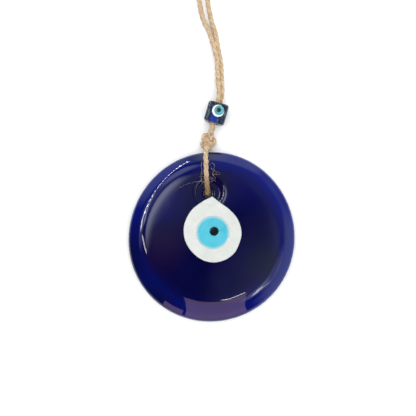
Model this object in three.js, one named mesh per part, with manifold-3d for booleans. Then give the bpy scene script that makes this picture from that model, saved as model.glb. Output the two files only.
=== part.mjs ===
// Evil eye ornament: a glass disc with a fused eye, hung on a doubled jute cord with a cube bead.
// It lies face up on a table. Millimetres, +Z up, +Y towards the hanging loop.
// The origin is on the table under the middle of the disc.
import * as THREE from 'three';
import { mergeVertices } from 'three/addons/utils/BufferGeometryUtils.js';
import Module from 'manifold-3d';

const wasm = await Module();
wasm.setup();

const degrees = THREE.MathUtils.degToRad;

// The room that fused or touching pieces keep between them.
const GAP = 0.3;

// Glass disc. Heights in this block are above its flat back.
const DISC_RADIUS = 40;
const OVAL_SHARE = 0.0131;
const OVAL_TURN = degrees(72.8);
const LOBE_SHARE = 0.0051;
const LOBE_TURN = degrees(-27.5);
const EDGE_HEIGHT = 2.8;
const EDGE_ROUND = 2.5;
const RIM_BAND = 5;
const RIM_CROWN = new THREE.Vector2(38.6, 6);
const SHOULDER_HEIGHT = 7.3;
const DOME_RISE = 1.1;
const DISC_SEGMENTS = 72;

// The rear strand of the cord runs under the upper half of the disc, so the disc lies tilted.
const DISC_TILT = degrees(2.3);
const DISC_CENTRE_Y = -0.2;

// Narrow hole for the cord. It opens into a wide, shallow dish in the face, which sits a little to one side.
const HOLE_CENTRE = new THREE.Vector2(-1.9, 21.5);
const HOLE_RADIUS = 2.3;
const BACK_CHAMFER = 2;
const DISH_CENTRE = new THREE.Vector2(-0.8, 21.8);
const DISH_START = 6;
const DISH_HEIGHT = 1.95;
const DISH_FLARE = 5.1;
const HOLE_SEGMENTS = 36;

// Eye layers on the disc. Each stands a little proud of the one around it.
const WHITE_CENTRE = new THREE.Vector2(0.75, 1.9);
const WHITE_RADIUS = 13.6;
const WHITE_TIP = new THREE.Vector2(0.3, 19.9);
const WHITE_OUTLINE = [
  [3.4, 17.4], [8.6, 13.6], [12.0, 9.7], [13.9, 5.2], [14.2, 1.5], [13.2, -2.4], [11.2, -6.4], [7.4, -9.7],
  [1.0, -11.5], [-4.8, -10.0], [-8.8, -7.0], [-11.6, -3.2], [-13.0, 0.5], [-13.3, 4.0], [-12.4, 8.4],
  [-9.7, 13.2], [-4.9, 17.2],
].map(([x, y]) => new THREE.Vector2(x, y));
const WHITE_BOTTOM = 6.0;
const WHITE_TOP = 8.75;
const IRIS_CENTRE = new THREE.Vector2(0.6, 2.8);
const IRIS_RADIUS = 7.7;
const IRIS_BOTTOM = 7.2;
const IRIS_TOP = 8.9;
const PUPIL_CENTRE = new THREE.Vector2(1.2, 3.4);
const PUPIL_RADIUS = 2.1;
const PUPIL_BOTTOM = 8.0;
const PUPIL_TOP = 9.0;
const EYE_SEGMENTS = 32;

// Cube bead, threaded on both strands. Its bore is a little askew in the glass.
const BEAD_SIZE = 10;
const BEAD_CORNER = 1.7;
const BEAD_EDGE = 1.2;
const BEAD_CENTRE = new THREE.Vector2(2.3, 59.2);
const BEAD_TURN = degrees(-16.5);
const BORE_TURN = degrees(-14.5);
const BORE_RADIUS = 2.8;
const BORE_SEGMENTS = 20;
const BEAD_WHITE_CENTRE = new THREE.Vector2(3.1, 60.0);
const BEAD_WHITE_RADIUS = 2.9;
const BEAD_IRIS_CENTRE = new THREE.Vector2(3.6, 60.25);
const BEAD_IRIS_RADIUS = 2.3;
const BEAD_PUPIL_CENTRE = new THREE.Vector2(3.45, 60.45);
const BEAD_PUPIL_RADIUS = 1.1;
const BEAD_DOT_DEPTH = 1.3;
const BEAD_DOT_RISE = 0.15;
const BEAD_DOT_STEP = 0.45;
const DOT_SEGMENTS = 24;

// Jute cord and its knots, which are round so that the cord can fold at them.
const CORD_DIAMETER = 2.2;
const CORD_SIDES = 8;
const KNOT_RADIUS = 3.9;
const LOWER_KNOT = [-1.7, 45.8, 3.95];
const TOP_KNOT = [-2.7, 160.8, 3.95];

// Routes of the cord's centre line: x, y and height.
const FRONT_ROUTE = [
  [-1.9, 42.65, 7.1], [-2.1, 41.5, 9.3], [-2.2, 39.3, 11.1], [-2.3, 36.2, 12.0],
  [-2.3, 32, 12.05], [-2.2, 28.5, 12.0], [-2.1, 25.6, 11.8], [-2.0, 23.2, 11.16],
  [-1.9, 21.44, 9.4], [-1.9, 20.8, 7.0], [-1.9, 20.8, 6.0], [-1.9, 21.44, 3.6],
  [-1.9, 23.2, 1.86], [-1.9, 25.5, 1.2], [-1.9, 28, 1.15],
];
const REAR_ROUTE = [
  [-1.9, 28.35, 1.15], [-2.0, 32, 1.15], [-2.0, 36, 1.15], [-1.9, 39.5, 1.3], [-1.8, 41.9, 2.2],
];
const LEFT_ROUTE = [
  [-0.66, 50.26, 5.88], [0.52, 54.81, 5.88], [1.7, 59.36, 5.88], [2.72, 63.33, 5.88],
  [3.75, 67.3, 5.88], [3.25, 72.8, 4.98], [2.55, 76.5, 3.53], [2.45, 80.3, 2.1],
  [1.7, 84.2, 1.4], [1.25, 88, 1.15], [0.25, 91.8, 1.15], [-1.0, 95.6, 1.15],
  [-2.2, 99.4, 1.15], [-3.9, 103.2, 1.15], [-5.3, 107, 1.15], [-5.9, 110.8, 1.15],
  [-6.5, 115, 1.15], [-8.4, 124, 1.15], [-9.9, 133, 1.15], [-9.8, 142, 1.15],
  [-7.6, 150, 1.15], [-4.9, 155.2, 1.4], [-4.1, 156.9, 2.2],
];
const RIGHT_ROUTE = [
  [0.55, 49.94, 3.72], [1.73, 54.49, 3.72], [2.91, 59.04, 3.72], [3.93, 63.01, 3.72],
  [4.96, 66.98, 3.72], [5.08, 72.6, 3.22], [4.97, 76.5, 2.67], [5.05, 80.3, 2.1],
  [4.3, 84.3, 1.4], [3.85, 88.1, 1.15], [2.85, 92, 1.15], [1.65, 95.8, 1.15],
  [0.65, 99.5, 1.15], [-0.35, 103.2, 1.15], [-1.2, 107, 1.15], [-1.7, 110.8, 1.15],
  [-2.1, 115, 1.15], [-1, 124, 1.15], [0.9, 133, 1.15], [1.8, 142, 1.15],
  [0.9, 150, 1.15], [-0.7, 155.2, 1.4], [-1.3, 156.9, 2.2],
];
const LEFT_TAIL_ROUTE = [
  [-4.1, 164.7, 2.2], [-5, 167.5, 1.3], [-6.4, 171, 1.15], [-8.6, 175, 1.15],
];
const RIGHT_TAIL_ROUTE = [
  [-1.3, 164.7, 2.2], [-0.7, 167.5, 1.3], [-0.1, 172, 1.15], [0.9, 177.5, 1.15],
];

// Materials.
const cobaltGlass = new THREE.MeshStandardMaterial({ color: 0x0a0a4a, roughness: 0.08 });
const whiteGlass = new THREE.MeshStandardMaterial({ color: 0xe9ece8, roughness: 0.3 });
const blueGlass = new THREE.MeshStandardMaterial({ color: 0x5ccbe6, roughness: 0.3 });
const darkGlass = new THREE.MeshStandardMaterial({ color: 0x0a1d24, roughness: 0.2 });
const beadGlass = new THREE.MeshStandardMaterial({ color: 0x0f1f3c, roughness: 0.1 });
const jute = new THREE.MeshStandardMaterial({ color: 0xcdae88, roughness: 0.9 });

// A geometry as a closed solid that can be cut, without the slivers at a lathe's poles.
function toSolid(geometry) {
  const bare = new THREE.BufferGeometry();
  bare.setAttribute('position', geometry.getAttribute('position'));
  bare.setIndex(geometry.getIndex());
  const merged = mergeVertices(bare, 1e-4);
  const corners = merged.getIndex().array;
  const triangles = [];
  for (let i = 0; i < corners.length; i += 3) {
    const [a, b, c] = corners.slice(i, i + 3);
    if (a !== b && b !== c && c !== a) triangles.push(a, b, c);
  }
  return new wasm.Manifold(new wasm.Mesh({
    numProp: 3,
    vertProperties: new Float32Array(merged.getAttribute('position').array),
    triVerts: new Uint32Array(triangles),
  }));
}

function toGeometry(solid) {
  const { vertProperties, triVerts } = solid.getMesh();
  const geometry = new THREE.BufferGeometry();
  geometry.setAttribute('position', new THREE.BufferAttribute(vertProperties, 3));
  geometry.setIndex(new THREE.BufferAttribute(triVerts, 1));
  geometry.computeVertexNormals();
  return geometry;
}

function cut(geometry, ...tools) {
  return toGeometry(tools.reduce((solid, tool) => solid.subtract(toSolid(tool)), toSolid(geometry)));
}

// Points of an arc of an ellipse, ends included.
function arcPoints(centreX, centreY, radiusX, radiusY, from, to, steps) {
  return Array.from({ length: steps + 1 }, (_, i) => {
    const angle = from + ((to - from) * i) / steps;
    return new THREE.Vector2(centreX + radiusX * Math.cos(angle), centreY + radiusY * Math.sin(angle));
  });
}

// A lathe about the vertical axis: x is the radius and y is the height.
function turned(profile, segments) {
  return new THREE.LatheGeometry(profile, segments).rotateX(Math.PI / 2);
}

// An outline raised from one height to another.
function slab(shape, bottom, top) {
  const geometry = new THREE.ExtrudeGeometry(shape, { depth: top - bottom, bevelEnabled: false });
  return geometry.translate(0, 0, bottom);
}

function roundShape(centre, radius, sides) {
  const points = arcPoints(centre.x, centre.y, radius, radius, 0, 2 * Math.PI, sides);
  return new THREE.Shape(points.slice(0, -1));
}

// The disc's radius as a share of its mean, by direction: an oval with a slight third lobe.
function outlineShare(angle) {
  const oval = OVAL_SHARE * Math.cos(2 * (angle - OVAL_TURN));
  const lobe = LOBE_SHARE * Math.cos(3 * (angle - LOBE_TURN));
  return 1 + oval + lobe;
}

function discBlank() {
  const shoulder = DISC_RADIUS - RIM_BAND;
  const dome = [0.8, 0.6, 0.35, 0].map((share) => (
    new THREE.Vector2(shoulder * share, SHOULDER_HEIGHT + DOME_RISE * (1 - share * share))
  ));
  const rim = new THREE.QuadraticBezierCurve(
    new THREE.Vector2(DISC_RADIUS, EDGE_HEIGHT),
    RIM_CROWN,
    new THREE.Vector2(shoulder, SHOULDER_HEIGHT),
  );
  const profile = [
    new THREE.Vector2(0, 0),
    ...arcPoints(DISC_RADIUS - EDGE_ROUND, EDGE_HEIGHT, EDGE_ROUND, EDGE_HEIGHT, -Math.PI / 2, 0, 4),
    ...rim.getPoints(6).slice(1),
    ...dome,
  ];
  const blank = turned(profile, DISC_SEGMENTS);
  const position = blank.getAttribute('position');
  for (let i = 0; i < position.count; i += 1) {
    const share = outlineShare(Math.atan2(position.getY(i), position.getX(i)));
    position.setXY(i, position.getX(i) * share, position.getY(i) * share);
  }
  return blank;
}

function holeCutter() {
  const above = 2 * SHOULDER_HEIGHT;
  const mouth = HOLE_RADIUS + DISH_FLARE;
  const profile = [
    new THREE.Vector2(0, -BACK_CHAMFER),
    new THREE.Vector2(HOLE_RADIUS + 2 * BACK_CHAMFER, -BACK_CHAMFER),
    new THREE.Vector2(HOLE_RADIUS, BACK_CHAMFER),
    ...arcPoints(mouth, DISH_START, -DISH_FLARE, DISH_HEIGHT, 0, Math.PI / 2, 6),
    new THREE.Vector2(mouth, above),
    new THREE.Vector2(0, above),
  ];
  const cutter = turned(profile, HOLE_SEGMENTS);
  const position = cutter.getAttribute('position');
  for (let i = 0; i < position.count; i += 1) {
    const share = THREE.MathUtils.clamp((position.getZ(i) - DISH_START) / DISH_HEIGHT, 0, 1);
    const centre = HOLE_CENTRE.clone().lerp(DISH_CENTRE, share);
    position.setXY(i, position.getX(i) + centre.x, position.getY(i) + centre.y);
  }
  return cutter;
}

// The white drop's outline, about its centre, from the tip round to the tip again.
function dropShape(grow) {
  const scale = 1 + grow / WHITE_RADIUS;
  const outline = [WHITE_TIP, ...WHITE_OUTLINE, WHITE_TIP].map(
    (point) => point.clone().sub(WHITE_CENTRE).multiplyScalar(scale).add(WHITE_CENTRE),
  );
  const curve = new THREE.SplineCurve(outline);
  return new THREE.Shape(curve.getPoints(2 * outline.length).slice(0, -1));
}

function eyeLayer(shape, bottom, top, pocketShape, pocketBottom) {
  return cut(slab(shape, bottom, top), slab(pocketShape, pocketBottom, top + GAP));
}

// The bead's body: a square block with every edge rounded.
function beadBlank() {
  const reach = BEAD_SIZE / 2 - BEAD_CORNER;
  const corners = [[1, -1, -90], [1, 1, 0], [-1, 1, 90], [-1, -1, 180]];
  const outline = corners.flatMap(([x, y, start]) => arcPoints(
    x * reach, y * reach, BEAD_CORNER, BEAD_CORNER, degrees(start), degrees(start + 90), 4,
  ));
  const block = new THREE.ExtrudeGeometry(new THREE.Shape(outline), {
    depth: BEAD_SIZE - 2 * BEAD_EDGE,
    bevelThickness: BEAD_EDGE,
    bevelSize: BEAD_EDGE,
    bevelOffset: -BEAD_EDGE,
    bevelSegments: 3,
  });
  return block.translate(0, 0, BEAD_EDGE).rotateZ(BEAD_TURN).translate(BEAD_CENTRE.x, BEAD_CENTRE.y, 0);
}

function beadBore() {
  const bore = new THREE.CylinderGeometry(BORE_RADIUS, BORE_RADIUS, 2 * BEAD_SIZE, BORE_SEGMENTS);
  return bore.rotateZ(BORE_TURN).translate(BEAD_CENTRE.x, BEAD_CENTRE.y, BEAD_SIZE / 2);
}

// A stretch of cord, with a step about every two and a half diameters where it runs straight.
function cordTube(route, step) {
  const section = roundShape(new THREE.Vector2(), CORD_DIAMETER / 2, CORD_SIDES);
  const path = new THREE.CatmullRomCurve3(route.map((point) => new THREE.Vector3(...point)));
  return new THREE.ExtrudeGeometry(section, {
    steps: Math.ceil(path.getLength() / step),
    extrudePath: path,
    bevelEnabled: false,
  });
}

function knot(centre) {
  return new THREE.SphereGeometry(KNOT_RADIUS, 20, 14).translate(...centre);
}

function piece(name, geometry, material) {
  const mesh = new THREE.Mesh(geometry, material);
  mesh.name = name;
  return mesh;
}

function glassDisc() {
  const pocket = slab(dropShape(GAP), WHITE_BOTTOM - GAP, 2 * SHOULDER_HEIGHT);
  const glass = cut(discBlank(), holeCutter(), pocket);
  const irisShape = (grow) => roundShape(IRIS_CENTRE, IRIS_RADIUS + grow, EYE_SEGMENTS);
  const pupilShape = (grow) => roundShape(PUPIL_CENTRE, PUPIL_RADIUS + grow, DOT_SEGMENTS);
  const white = eyeLayer(dropShape(0), WHITE_BOTTOM, WHITE_TOP, irisShape(GAP), IRIS_BOTTOM - GAP);
  const iris = eyeLayer(irisShape(0), IRIS_BOTTOM, IRIS_TOP, pupilShape(GAP), PUPIL_BOTTOM - GAP);
  const pupil = slab(pupilShape(0), PUPIL_BOTTOM, PUPIL_TOP);
  const disc = new THREE.Group();
  disc.add(
    piece('glass_disc', glass, cobaltGlass),
    piece('eye_white', white, whiteGlass),
    piece('eye_iris', iris, blueGlass),
    piece('eye_pupil', pupil, darkGlass),
  );
  // Turned about the lower edge, so that the rounded edge rests on the table.
  const lowerRadius = DISC_RADIUS * outlineShare(-Math.PI / 2) - EDGE_ROUND;
  const lift = lowerRadius * Math.sin(DISC_TILT) + EDGE_HEIGHT * (1 - Math.cos(DISC_TILT));
  disc.rotation.x = DISC_TILT;
  disc.position.set(0, DISC_CENTRE_Y, lift);
  return disc;
}

function cubeBead() {
  const top = BEAD_SIZE + BEAD_DOT_RISE;
  const whiteBottom = top - BEAD_DOT_DEPTH;
  const irisBottom = whiteBottom + BEAD_DOT_STEP;
  const pupilBottom = irisBottom + BEAD_DOT_STEP;
  const whiteShape = (grow) => roundShape(BEAD_WHITE_CENTRE, BEAD_WHITE_RADIUS + grow, DOT_SEGMENTS);
  const irisShape = (grow) => roundShape(BEAD_IRIS_CENTRE, BEAD_IRIS_RADIUS + grow, DOT_SEGMENTS);
  const pupilShape = (grow) => roundShape(BEAD_PUPIL_CENTRE, BEAD_PUPIL_RADIUS + grow, DOT_SEGMENTS);
  const room = GAP / 2;
  const body = cut(beadBlank(), beadBore(), slab(whiteShape(room), whiteBottom - room, 2 * BEAD_SIZE));
  const white = eyeLayer(whiteShape(0), whiteBottom, top, irisShape(room), irisBottom - room);
  const iris = eyeLayer(irisShape(0), irisBottom, top, pupilShape(room), pupilBottom - room);
  const pupil = slab(pupilShape(0), pupilBottom, top);
  const bead = new THREE.Group();
  bead.add(
    piece('bead_body', body, beadGlass),
    piece('bead_eye_white', white, whiteGlass),
    piece('bead_eye_iris', iris, blueGlass),
    piece('bead_eye_pupil', pupil, darkGlass),
  );
  return bead;
}

function juteCord() {
  const straightStep = 2.5 * CORD_DIAMETER;
  const curvedStep = 1.2 * CORD_DIAMETER;
  const cord = new THREE.Group();
  cord.add(
    piece('cord_loop_front', cordTube(FRONT_ROUTE, curvedStep), jute),
    piece('cord_loop_rear', cordTube(REAR_ROUTE, curvedStep), jute),
    piece('lower_knot', knot(LOWER_KNOT), jute),
    piece('strand_left', cordTube(LEFT_ROUTE, straightStep), jute),
    piece('strand_right', cordTube(RIGHT_ROUTE, straightStep), jute),
    piece('top_knot', knot(TOP_KNOT), jute),
    piece('tail_left', cordTube(LEFT_TAIL_ROUTE, straightStep), jute),
    piece('tail_right', cordTube(RIGHT_TAIL_ROUTE, straightStep), jute),
  );
  return cord;
}

const ornament = new THREE.Group();
ornament.add(glassDisc(), cubeBead(), juteCord());

export default ornament;
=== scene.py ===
"""Looks of the evil eye ornament, face up: cobalt disc with a fused eye, cube bead and doubled jute cord."""
import math

import bpy
import numpy as np
from mathutils import Matrix, Vector, noise


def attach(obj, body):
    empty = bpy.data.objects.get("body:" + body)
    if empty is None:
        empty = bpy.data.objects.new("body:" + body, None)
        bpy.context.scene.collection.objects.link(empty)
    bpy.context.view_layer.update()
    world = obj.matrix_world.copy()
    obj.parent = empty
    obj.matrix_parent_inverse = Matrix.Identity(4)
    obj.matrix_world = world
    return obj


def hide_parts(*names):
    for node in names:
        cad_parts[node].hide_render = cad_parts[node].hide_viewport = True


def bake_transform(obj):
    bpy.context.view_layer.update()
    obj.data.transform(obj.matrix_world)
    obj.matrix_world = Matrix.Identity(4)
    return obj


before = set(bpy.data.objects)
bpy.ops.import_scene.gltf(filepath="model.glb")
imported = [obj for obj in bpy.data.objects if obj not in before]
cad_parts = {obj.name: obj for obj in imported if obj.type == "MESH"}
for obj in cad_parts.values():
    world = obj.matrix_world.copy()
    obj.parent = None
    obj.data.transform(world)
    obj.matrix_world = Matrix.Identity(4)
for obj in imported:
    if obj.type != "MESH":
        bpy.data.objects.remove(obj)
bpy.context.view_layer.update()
MM = 0.001
rng = np.random.default_rng(20)


# ---- camera
camera_data = bpy.data.cameras.new("camera")
camera_data.lens = 90
camera_data.sensor_width = 36
camera_data.clip_start = 0.01
camera = bpy.data.objects.new("camera", camera_data)
camera.location = (-1.7 * MM, 13.9 * MM, 503 * MM)
bpy.context.scene.collection.objects.link(camera)
bpy.context.scene.camera = camera


# ---- mesh helpers (millimetres in, metres out)
def new_object(name, points, faces, uvs=None):
    mesh = bpy.data.meshes.new(name)
    mesh.from_pydata([tuple(p) for p in np.asarray(points) * MM], [], faces)
    mesh.polygons.foreach_set("use_smooth", [True] * len(mesh.polygons))
    if uvs is not None:
        layer = mesh.uv_layers.new(name="UVMap")
        layer.data.foreach_set("uv", np.asarray(uvs, np.float32).ravel())
    mesh.update()
    obj = bpy.data.objects.new(name, mesh)
    bpy.context.scene.collection.objects.link(obj)
    return obj


def band_faces(base, count, a, b):
    """Faces between loops a and b of a mesh whose loops hold count points each, starting at base."""
    a, b = base + a * count, base + b * count
    return [(a + i, a + (i + 1) % count, b + (i + 1) % count, b + i) for i in range(count)]


def ring_stack(name, loops, closed=False, cap_start=False, cap_end=False):
    """A skin over a stack of equally long loops. closed joins the last loop to the first."""
    loops = [np.asarray(loop, float) for loop in loops]
    count = len(loops[0])
    points = list(np.vstack(loops))
    faces = []
    pairs = [(k, k + 1) for k in range(len(loops) - 1)]
    if closed:
        pairs.append((len(loops) - 1, 0))
    for a, b in pairs:
        faces += band_faces(0, count, a, b)
    for wanted, k, flip in ((cap_start, 0, True), (cap_end, len(loops) - 1, False)):
        if wanted:
            points.append(loops[k].mean(0))
            hub = len(points) - 1
            for i in range(count):
                j = (i + 1) % count
                a, b = k * count + i, k * count + j
                faces.append((b, a, hub) if flip else (a, b, hub))
    return new_object(name, points, faces)


def ring_angles(count):
    return np.linspace(0, 2 * math.pi, count, endpoint=False)


def unit_circle(angle):
    return np.c_[np.cos(angle), np.sin(angle)]


def raised(xy, height=0.0):
    """Points of the plane, set at one height or each at its own."""
    return np.c_[xy, np.broadcast_to(height, len(xy))]


def smoothstep(a, b, x):
    t = np.clip((x - a) / (b - a), 0, 1)
    return t * t * (3 - 2 * t)


def arc_lengths(points):
    return np.r_[0, np.cumsum(np.linalg.norm(np.diff(points, axis=0), axis=1))]


def hermite(points, count):
    """A smooth curve through the points, sampled evenly along their chords."""
    points = np.asarray(points, float)
    s = arc_lengths(points)
    slope = np.gradient(points, s, axis=0)
    t = np.linspace(0, s[-1], count)
    i = np.clip(np.searchsorted(s, t, side="right") - 1, 0, len(points) - 2)
    h = (s[i + 1] - s[i])[:, None]
    u = (t - s[i])[:, None] / h
    return ((2 * u**3 - 3 * u**2 + 1) * points[i] + (u**3 - 2 * u**2 + u) * h * slope[i]
            + (-2 * u**3 + 3 * u**2) * points[i + 1] + (u**3 - u**2) * h * slope[i + 1])


def resample(points, step):
    s = arc_lengths(points)
    t = np.linspace(0, s[-1], int(round(s[-1] / step)) + 1)
    return np.column_stack([np.interp(t, s, points[:, k]) for k in range(3)])


def field(points, scale, seed):
    """Smooth noise from -1 to 1 at each point, with that wavelength in millimetres."""
    shift = Vector((seed * 7.3, seed * 3.1, seed * 5.7))
    return np.array([noise.noise(Vector(p) / scale + shift) for p in points])


# ---- cord routes, millimetres
# They lie along the CAD's cord solids, up to two millimetres from the middle of them.
CORD_DIAMETER = 2.2
LOWER_KNOT = (-2.6, 45.7, 2.9)
TOP_KNOT = (-2.7, 160.8, 2.7)
FRONT = [(-2.6, 42.6, 9.1), (-2.7, 40.1, 11.3), (-2.7, 36.2, 11.95), (-2.6, 32, 11.95), (-2.4, 28.5, 11.9),
         (-2.2, 25.6, 11.7), (-2.0, 23.2, 11.1), (-1.9, 21.44, 9.4), (-1.9, 20.8, 7.0), (-1.9, 20.8, 6.0),
         (-1.9, 21.44, 3.6), (-1.9, 23.2, 1.86), (-1.9, 25.5, 1.3), (-2.0, 28, 1.25)]
REAR = [(-2.2, 32, 1.25), (-2.3, 36, 1.3), (-2.4, 39.2, 1.5)]
LEFT = [(-0.35, 50.6, 5.5), (0.25, 53.4, 5.8), (0.9, 55.9, 5.88), (1.8, 59.4, 5.88), (2.75, 63.33, 5.88),
        (3.5, 67.3, 5.88), (3.25, 72.8, 4.98), (2.95, 76.5, 3.8), (2.85, 80.3, 3.2), (2.75, 84.5, 2.9),
        (1.75, 89.5, 2.3), (0.65, 93.5, 1.6), (-1.1, 98.8, 1.3), (-2.75, 102.1, 1.25), (-4.2, 105.6, 1.25),
        (-5.45, 110.9, 1.25), (-6.1, 115, 1.25), (-8.0, 124, 1.25), (-9.6, 133, 1.25),
        (-9.8, 142, 1.25), (-7.6, 150, 1.25), (-4.9, 155.2, 1.5)]
RIGHT = [(0.0, 50.4, 3.5), (0.55, 53.2, 3.6), (1.3, 55.9, 3.72), (2.6, 59.2, 3.72), (3.7, 63.01, 3.72),
         (4.65, 66.98, 3.72), (5.0, 72.6, 3.0), (4.8, 76.5, 2.2), (4.65, 80.3, 1.5), (4.2, 85.0, 1.25),
         (3.4, 89.6, 1.25), (2.65, 93.5, 1.25), (1.75, 98.8, 1.25), (0.6, 102.1, 1.25), (-0.45, 105.6, 1.25),
         (-1.45, 110.9, 1.25), (-1.95, 115, 1.25), (-1, 124, 1.25), (0.9, 133, 1.25),
         (1.8, 142, 1.25), (0.9, 150, 1.25), (-0.7, 155.2, 1.5)]
LEFT_TAIL = [(-5, 167.5, 1.4), (-6.4, 171, 1.25), (-8.6, 175, 1.25)]
RIGHT_TAIL = [(-0.7, 167.5, 1.4), (-0.1, 172, 1.25), (0.9, 177.5, 1.25)]


# ---- overhand knot in two strands, drawn tight
KNOT_LOOSE = [(0, -22, 0), (0, -16, 0), (0, -9, 0), (0.3, -4.5, -1.6), (3, -1, -0.6), (4.7, 2.2, 1.6),
              (3.6, 6.6, 0.2), (0, 8.8, -1.6), (-3.8, 7, 0), (-5.2, 3, 0), (-3.7, -1.8, 0.8), (0, -4.4, 1.6),
              (3.8, -4.6, 0.6), (6.6, -1.5, -1.0), (4.6, 1.8, -1.6), (1.6, 3.6, 0), (0.2, 6.2, 1.0),
              (0, 8.8, 1.6), (0, 13, 0), (0, 20, 0), (0, 26, 0)]
KNOT_CORE = 1.6
KNOT_SCALE = 0.84
KNOT_STEP = 0.6
KNOT_DEPTH = 1.3
KNOT_REACH = 3.9
LOWER_LEAN = math.radians(-6)
TOP_LEAN = math.radians(4)
ROUNDS = 14
PULLS_A_ROUND = 60
PUSHES_A_PULL = 3
PULL = 0.35
PUSH = 1.3
# Points of one strand nearer along it than this many widths don't push each other.
NEIGHBOUR_REACH = 1.7


def tie_knot(width):
    """Both strands of the tightened knot, bottom to top.

    They shorten like stretched elastic and push each other apart.
    """
    line = hermite(np.array(KNOT_LOOSE, float) * (1, 1, KNOT_DEPTH), 600)
    along = np.gradient(line, axis=0)
    side = np.cross(along, (0, 0, 1))
    side /= np.linalg.norm(side, axis=1)[:, None]
    strands = [line + side * width * 0.55, line - side * width * 0.55]
    for _ in range(ROUNDS):
        strands = [resample(s, KNOT_STEP) for s in strands]
        first = len(strands[0])
        x = np.vstack(strands)
        total = len(x)
        which = np.arange(total) >= first
        place = np.where(which, np.arange(total) - first, np.arange(total))
        i, j = np.triu_indices(total, 1)
        apart = (which[i] != which[j]) | (np.abs(place[i] - place[j]) * KNOT_STEP >= NEIGHBOUR_REACH * width)
        i, j = i[apart], j[apart]
        free = np.ones(total, bool)
        free[[0, first - 1, first, total - 1]] = False
        inner = np.where(free)[0]
        for _ in range(PULLS_A_ROUND):
            x[inner] += PULL * ((x[inner - 1] + x[inner + 1]) / 2 - x[inner])
            for _ in range(PUSHES_A_PULL):
                gap = x[j] - x[i]
                reach = np.sqrt((gap * gap).sum(1))
                hit = reach < width
                if not hit.any():
                    break
                a, b = i[hit], j[hit]
                push = ((width - reach[hit]) / np.maximum(reach[hit], 1e-6))[:, None] * gap[hit] * 0.5
                shove = np.zeros_like(x)
                shares = np.zeros(total)
                np.add.at(shove, b, push)
                np.add.at(shove, a, -push)
                np.add.at(shares, a, 1)
                np.add.at(shares, b, 1)
                x[free] += (shove / np.maximum(shares, 1)[:, None] * PUSH)[free]
        strands = [x[:first].copy(), x[first:].copy()]
    both = np.vstack(strands)
    core = np.hypot(both[:, 0], both[:, 2]) > 1.2 * width
    low, high = both[core].min(0), both[core].max(0)
    return [(s - (low + high) / 2) * KNOT_SCALE for s in strands]


def placed_knot(strands, centre, lean):
    """The knot's middle part, mirrored, leant in the plane and set at a place."""
    placed = []
    for strand in strands:
        # Keep from the first to the last point inside the reach.
        inside = np.where(np.abs(strand[:, 1]) < KNOT_REACH)[0]
        q = strand[inside[0]:inside[-1] + 1] * (-1, 1, 1)
        c, s = math.cos(lean), math.sin(lean)
        q = np.c_[q[:, 0] * c - q[:, 1] * s, q[:, 0] * s + q[:, 1] * c, q[:, 2]]
        placed.append(q + np.array(centre))
    return placed


knot_strands = tie_knot(KNOT_CORE)
# The front strand leaves the lower knot on top, and bends up over the rim before the knot's reach ends.
FRONT_TRIM = 3
lower_front, lower_rear = sorted(placed_knot(knot_strands, LOWER_KNOT, LOWER_LEAN), key=lambda s: -s[0][2])
top_left, top_right = sorted(placed_knot(knot_strands, TOP_KNOT, TOP_LEAN), key=lambda s: s[0][0])
# One cord from cut end to cut end.
stretches = [LEFT_TAIL[::-1], top_left[::-1], LEFT[::-1], lower_front[FRONT_TRIM:][::-1],
             FRONT + REAR, lower_rear, RIGHT, top_right, RIGHT_TAIL]
LOOP_STRETCH = 4
route = np.vstack(stretches)
route_marks = np.repeat(np.arange(len(stretches)), [len(points) for points in stretches])
CORD_STEP = 0.3
SEARCH_AHEAD = 200
line = resample(hermite(route, 8000), CORD_STEP)
line_s = arc_lengths(line)
# Where each point of the route lies along the finished line.
route_s = []
cursor = 0
for point in route:
    window = line[cursor:cursor + SEARCH_AHEAD]
    cursor += int(np.argmin(np.linalg.norm(window - point, axis=1)))
    route_s.append(line_s[min(cursor, len(line) - 1)])
route_s = np.array(route_s)


def seam(k):
    """Where stretch k gives way to stretch k + 1 along the cord."""
    return (route_s[route_marks == k].max() + route_s[route_marks == k + 1].min()) / 2


(left_tail_end, left_top, left_foot, loop_start,
 loop_end, right_foot, right_top, right_tail_end) = [seam(k) for k in range(len(stretches) - 1)]
knot_zones = [(left_tail_end, left_top), (left_foot, loop_start), (loop_end, right_foot),
              (right_top, right_tail_end)]

# Frames that turn as little as possible along the cord.
tangent = np.gradient(line, axis=0)
tangent /= np.linalg.norm(tangent, axis=1)[:, None]
normal = np.zeros_like(line)
normal[0] = np.cross(tangent[0], (0, 0, 1))
normal[0] /= np.linalg.norm(normal[0])
for k in range(1, len(line)):
    n = normal[k - 1] - tangent[k] * (normal[k - 1] @ tangent[k])
    normal[k] = n / np.linalg.norm(n)
binormal = np.cross(tangent, normal)

PLIES = 3
PLY_SIDES = 12
PLY_RADIUS = 0.68
PLY_OFFSET = 0.52
TWIST_PITCH = 9.5
FIBRE_TWIST = 0.9
GROOVE_DEPTH = 0.22
KNOT_SQUEEZE = 0.76
SQUEEZE_OUTSIDE = 1.5
SQUEEZE_INSIDE = 0.5
# Beyond its ends a piece runs on for a few rings, each smaller than the last, to hide inside the next piece.
OVERLAP_RINGS = 2
OVERLAP_SHRINK = 0.12
# At the cut ends the plies taper and spread.
CUT_TAPER = 0.35
TAPER_LENGTH = 1.2
FRAY = 0.9
FRAY_LENGTH = 2.5
# Nothing on the cord is lower than this.
FLOOR_GAP = 0.02
UV_LENGTH = 10
PLY_UV_SHIFT = 3.37

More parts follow.
